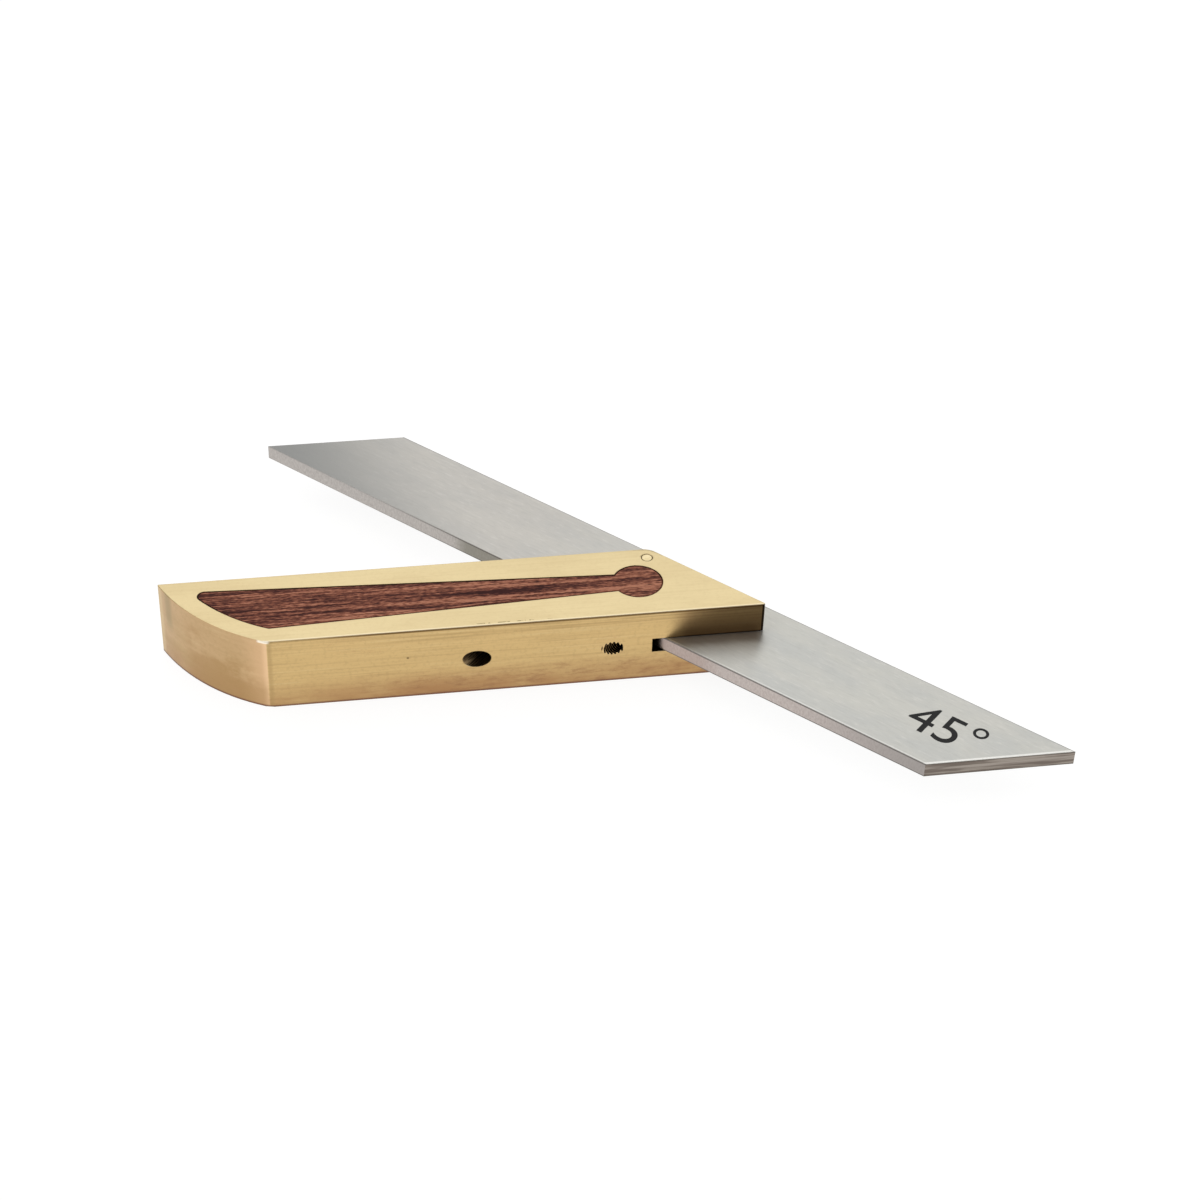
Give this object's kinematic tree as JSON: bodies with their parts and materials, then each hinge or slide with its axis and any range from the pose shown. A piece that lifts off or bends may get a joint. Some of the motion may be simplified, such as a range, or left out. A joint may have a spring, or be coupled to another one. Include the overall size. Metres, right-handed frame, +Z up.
{
  "type": "mitre gauge",
  "caption": "Mitre gauge with a slotted brass stock, wood infills and a flat steel blade set at 45 degrees, trued about a pivot pin by headless screws.",
  "frame": {"origin": "where the blade's inner edge crosses the working face, at the level of the sole", "axes": "+X along the working face towards the nose, +Y from the working face into the stock, +Z up from the sole"},
  "size_m": [0.1625, 0.1111, 0.016],
  "materials": {
    "stock_brass": "fine brushed",
    "blade_steel": "satin ground",
    "infill_wood": "oiled rosewood",
    "pin_brass": "filed flush",
    "screw_steel": "black oxide"
  },
  "bodies": {
    "stock": {"stock_body": "stock_brass", "upper_infill": "infill_wood", "lower_infill": "infill_wood", "pivot_pin": "pin_brass"},
    "blade": {"blade": "blade_steel"},
    "front_adjuster": {"front_adjuster": "screw_steel"},
    "rear_adjuster": {"rear_adjuster": "screw_steel"}
  },
  "joints": [
    {"name": "blade_tilt", "type": "hinge", "parent": "stock", "child": "blade", "pos_m": [-0.00093, 0.01665, 0.008], "axis": [0, 0, 1], "range_deg": [-5, 5]},
    {"name": "front_adjuster_run", "type": "slide", "parent": "stock", "child": "front_adjuster", "axis": [0.7071, 0.7071, 0], "range_m": [-0.0005, 0.0005]},
    {"name": "rear_adjuster_run", "type": "slide", "parent": "stock", "child": "rear_adjuster", "axis": [0.7071, 0.7071, 0], "range_m": [-0.0012, 0.0012]}
  ],
  "couplings": [
    {"joint": "front_adjuster_run", "follows": "blade_tilt", "m_per_rad": 0.0053577},
    {"joint": "rear_adjuster_run", "follows": "blade_tilt", "m_per_rad": -0.012886}
  ]
}
